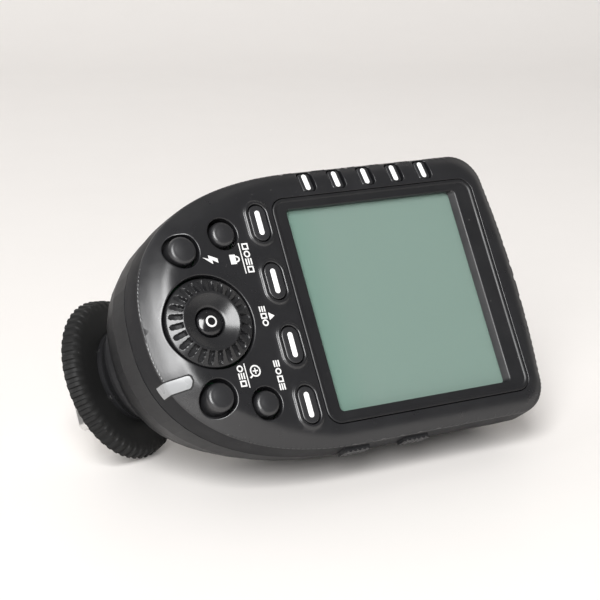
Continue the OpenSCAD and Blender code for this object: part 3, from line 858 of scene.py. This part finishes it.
def lock_ring():
    """The clamping ring, its outer edge cut with flat ribs."""
    ribs, per, rib_depth = 54, 10, 0.42
    n = ribs * per
    a = np.linspace(0, 2 * math.pi, n, endpoint=False)
    phase = (a * ribs / (2 * math.pi)) % 1.0
    wave = np.clip((np.abs(phase - 0.5) - 0.22) / 0.1, 0, 1)
    wave = wave * wave * (3 - 2 * wave)
    prof = [(9.9, -29.85, 0), (10.1, -29.8, 0), (14.3, -29.8, 0), (14.6, -29.83, 0.15),
            (15.2, -29.9, 0.5), (15.8, -30.1, 0.9), (16.3, -30.35, 1), (16.62, -30.7, 1),
            (16.85, -31.4, 1), (17.05, -32.2, 1), (17.22, -32.7, 1), (17.28, -32.85, 0.8),
            (17.15, -32.97, 0.4), (16.9, -33.0, 0), (15.8, -33.0, 0), (15.6, -32.9, 0),
            (15.55, -32.7, 0), (15.55, -31.92, 0), (9.95, -31.9, 0), (9.9, -31.85, 0)]
    loops = []
    for r, z, k in prof:
        rr = r - rib_depth * k * wave
        loops.append(np.stack([rr * np.cos(a), rr * np.sin(a), np.full(n, z)], 1))
    loops.append(loops[0])
    v, f = merged(*loft(loops), 1e-4)
    piece("lock_ring_look", foot(v), [q[::-1] for q in f], "ring", [RING], "black_shell",
          ["lock_ring"], sharp=40)


lock_ring()

# -------------------------------------------------------------------- print
# Marks stand INK_UP proud of the surface and reach INK_DOWN into it.
INK_UP, INK_DOWN, STROKE = 0.03, 0.12, 0.3


def band(outer, inner, z_of):
    """Flat printed band between two loops of the same length, as a thin closed solid."""
    def level(loop, dz):
        return np.column_stack([loop, z_of(loop) + dz])
    return loft([level(outer, -INK_DOWN), level(outer, INK_UP), level(inner, INK_UP),
                 level(inner, -INK_DOWN), level(outer, -INK_DOWN)])


def solid_mark(loop, z_of):
    """Flat printed patch with the outline given, which may be hollow-sided."""
    n = len(loop)
    v = np.concatenate([np.column_stack([loop, z_of(loop) + INK_UP]),
                        np.column_stack([loop, z_of(loop) - INK_DOWN])])
    f = [tuple(range(n)), tuple(range(2 * n - 1, n - 1, -1))]
    f += [(i, i + n, (i + 1) % n + n, (i + 1) % n) for i in range(n)]
    return v, f


def box(x0, x1, y0, y1):
    return np.array([(x0, y0), (x1, y0), (x1, y1), (x0, y1)], float)


def bar_mark(x0, x1, y0, y1, z_of):
    return solid_mark(box(x0, x1, y0, y1), z_of)


def circle(x, y, r, n=28):
    a = np.linspace(0, 2 * math.pi, n, endpoint=False)
    return np.column_stack([x + r * np.cos(a), y + r * np.sin(a)])


def glyph_row(x0, x1, y0, y1, shapes, z_of):
    """A row of plain symbols: rings, blocks and bars."""
    out, step, gap = [], (x1 - x0) / len(shapes), 0.12
    h = y1 - y0
    for i, shape in enumerate(shapes):
        a, b = x0 + i * step + gap, x0 + (i + 1) * step - gap
        if shape == "ring":
            centre = (a + b) / 2, (y0 + y1) / 2
            out.append(band(circle(*centre, h / 2), circle(*centre, h / 2 - STROKE), z_of))
        elif shape == "block":
            out.append(band(box(a, b, y0, y1), box(a + STROKE, b - STROKE, y0 + STROKE,
                                                   y1 - STROKE), z_of))
        else:
            for k in range(3):
                yy = y0 + k * (h - STROKE) / 2
                out.append(bar_mark(a, b, yy, yy + STROKE, z_of))
    return out


def face_prints():
    """Rows of symbols beside the keys, a bolt, a padlock and a magnifier."""
    z_of = face_height
    marks = glyph_row(-15.3, -8.9, 11.25, 12.7, ("block", "ring", "bars", "block"), z_of)
    marks.append(bar_mark(-15.3, -8.9, 10.55, 10.77, z_of))
    marks += glyph_row(-2.0, 2.25, 11.35, 12.75, ("bars", "block", "ring"), z_of)
    marks.append(solid_mark(np.array([(-0.5, 13.2), (1.1, 13.2), (0.3, 14.5)]), z_of))
    marks += glyph_row(9.3, 13.8, 2.85, 4.25, ("ring", "bars", "block"), z_of)
    marks.append(bar_mark(9.1, 14.0, 4.6, 4.82, z_of))
    marks += glyph_row(9.2, 15.5, 11.3, 12.65, ("bars", "ring", "block", "bars"), z_of)
    bolt = np.array([(0.8, 1.65), (0.1, 0.4), (0.95, 0.4), (-0.6, -1.65), (-0.15, -0.3),
                     (-0.95, -0.3), (-0.1, 1.65)])
    marks.append(solid_mark(bolt + (-12.45, 3.4), z_of))
    marks.append(bar_mark(-13.05, -11.05, 7.85, 9.15, z_of))
    arch = np.radians(np.linspace(0, 180, 13))
    outer = np.column_stack([0.72 * np.cos(arch), 0.95 * np.sin(arch)])
    inner = np.column_stack([0.42 * np.cos(arch), 0.65 * np.sin(arch)])
    shackle = np.concatenate([outer, inner[::-1]])
    marks.append(solid_mark(shackle + (-12.05, 9.1), z_of))
    cx, cy = 10.85, 6.85
    marks.append(band(circle(cx, cy, 1.2), circle(cx, cy, 0.9), z_of))
    marks.append(bar_mark(cx - 0.6, cx + 0.6, cy - 0.13, cy + 0.13, z_of))
    marks.append(bar_mark(cx - 0.13, cx + 0.13, cy - 0.6, cy + 0.6, z_of))
    tail = np.array([(0.75, -0.95), (0.98, -0.75), (1.4, -1.35), (1.17, -1.55)])
    marks.append(solid_mark(tail + (cx, cy), z_of))
    piece("face_marks", *join(*marks), "housing", [PRINT], "diffuser", sharp=60)


def set_print():
    """A plain ring on the centre button's dome."""
    def dome(loop):
        return SET_TOP - SET_DOME * (np.hypot(loop[:, 0], loop[:, 1]) / SET_R) ** 2
    piece("set_mark", *band(circle(0, 0, 1.15, 48), circle(0, 0, 0.8, 48), dome),
          "set_button", [PRINT], "diffuser", sharp=60)


face_prints()
set_print()

# ------------------------------------------------------------------ stage
CAMERA_AT = lay([(76.1, -145.9, 298.7)])[0]
FORWARD = lay_dir((-0.2231, 0.4762, -0.8506))


def camera():
    c = bpy.data.cameras.new("camera")
    c.lens, c.sensor_width = 105.5, 36
    c.clip_start, c.clip_end = 0.02, 20
    o = bpy.data.objects.new("camera", c)
    bpy.context.scene.collection.objects.link(o)
    o.location = CAMERA_AT
    o.rotation_euler = FORWARD.to_track_quat("-Z", "Y").to_euler()
    bpy.context.scene.camera = o


def floor():
    """Pale seamless sweep: flat under the object, curving up far behind it."""
    flat, radius, turn = 0.6, 0.5, math.radians(-29.5)
    xs = np.linspace(-1.6, 1.6, 33)
    prof = [(-1.0, 0.0), (-0.4, 0.0), (0.0, 0.0), (0.3, 0.0), (flat, 0.0)]
    for t in np.linspace(0, math.pi / 2, 16)[1:]:
        prof.append((flat + radius * math.sin(t), radius * (1 - math.cos(t))))
    prof += [(flat + radius, 1.0), (flat + radius, 1.8)]
    v = [(x, y, z) for y, z in prof for x in xs]
    f = []
    for j in range(len(prof) - 1):
        for i in range(len(xs) - 1):
            a = j * len(xs) + i
            f.append((a, a + 1, a + len(xs) + 1, a + len(xs)))
    me = bpy.data.meshes.new("floor")
    me.from_pydata(v, [], f)
    m, t, b = nodes_of("paper")
    n = noise(t, 30, 4)
    t.links.new(mix(t, n, (0.83, 0.803, 0.778), (0.85, 0.823, 0.798)), b.inputs["Base Color"])
    b.inputs["Roughness"].default_value = 0.55
    t.links.new(bump(t, noise(t, 500, 3), 0.1, 0.00005), b.inputs["Normal"])
    me.materials.append(m)
    me.shade_smooth()
    o = bpy.data.objects.new("floor", me)
    bpy.context.scene.collection.objects.link(o)
    o.rotation_euler[2] = turn


def softbox(name, toward, dist, size, power):
    """An area light in the given direction from the object, facing it."""
    l = bpy.data.lights.new(name, "AREA")
    l.shape = "RECTANGLE"
    l.size, l.size_y = size
    l.energy = power
    o = bpy.data.objects.new(name, l)
    bpy.context.scene.collection.objects.link(o)
    d = Vector(toward).normalized()
    o.location = Vector((0, 0, 0.03)) + d * dist
    o.rotation_euler = (-d).to_track_quat("-Z", "Y").to_euler()


def lights():
    bpy.context.scene.view_settings.view_transform = "Standard"
    w = bpy.data.worlds.new("studio")
    bpy.context.scene.world = w
    w.use_nodes = True
    bg = w.node_tree.nodes["Background"]
    bg.inputs[0].default_value = (1.0, 0.99, 0.985, 1)
    bg.inputs[1].default_value = 0.18
    softbox("key", (-0.5, -0.64, 0.58), dist=1.5, size=(0.72, 1.25), power=40)
    softbox("back", (-0.5, 0.62, 0.72), dist=1.3, size=(1.3, 1.0), power=3)


camera()
floor()
lights()
